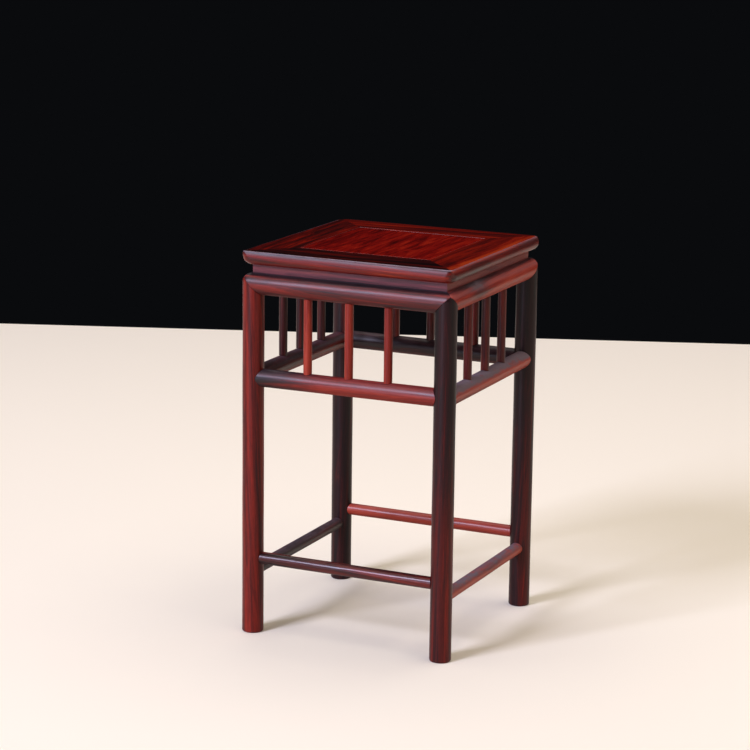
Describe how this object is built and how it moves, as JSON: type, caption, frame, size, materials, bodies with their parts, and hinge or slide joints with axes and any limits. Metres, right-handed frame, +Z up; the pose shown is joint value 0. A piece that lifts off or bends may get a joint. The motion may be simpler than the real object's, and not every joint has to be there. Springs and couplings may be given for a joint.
{
  "type": "display stand",
  "caption": "Square waisted display stand in dark red hardwood: framed panel top on a recessed waist, round legs mitred to round aprons, balustered rails and low stretchers.",
  "frame": {"origin": "on the floor, at the middle of the stand's box", "axes": "+Z up; -Y towards the front, the side turned most to the camera in the picture; +X to the right of it"},
  "size_m": [0.1172, 0.1162, 0.2],
  "materials": {
    "frame_wood": "waxed, semi-gloss",
    "panel_wood": "waxed, semi-gloss",
    "waist_wood": "waxed, semi-gloss",
    "leg_wood": "waxed, semi-gloss",
    "rail_wood": "waxed, semi-gloss",
    "baluster_wood": "waxed, semi-gloss"
  },
  "bodies": {
    "root": {"top_frame_front": "frame_wood", "top_frame_right": "frame_wood", "top_frame_back": "frame_wood", "top_frame_left": "frame_wood", "top_panel": "panel_wood", "panel_batten": "frame_wood", "waist_front": "waist_wood", "waist_right": "waist_wood", "waist_back": "waist_wood", "waist_left": "waist_wood", "apron_front": "rail_wood", "apron_right": "rail_wood", "apron_back": "rail_wood", "apron_left": "rail_wood", "leg_front_left": "leg_wood", "leg_front_right": "leg_wood", "leg_back_right": "leg_wood", "leg_back_left": "leg_wood", "upper_rail_front": "rail_wood", "upper_rail_right": "rail_wood", "upper_rail_back": "rail_wood", "upper_rail_left": "rail_wood", "baluster_front_1": "baluster_wood", "baluster_front_2": "baluster_wood", "baluster_front_3": "baluster_wood", "baluster_right_1": "baluster_wood", "baluster_right_2": "baluster_wood", "baluster_right_3": "baluster_wood", "baluster_back_1": "baluster_wood", "baluster_back_2": "baluster_wood", "baluster_back_3": "baluster_wood", "baluster_left_1": "baluster_wood", "baluster_left_2": "baluster_wood", "baluster_left_3": "baluster_wood", "stretcher_front": "rail_wood", "stretcher_right": "rail_wood", "stretcher_back": "rail_wood", "stretcher_left": "rail_wood"}
  },
  "joints": []
}
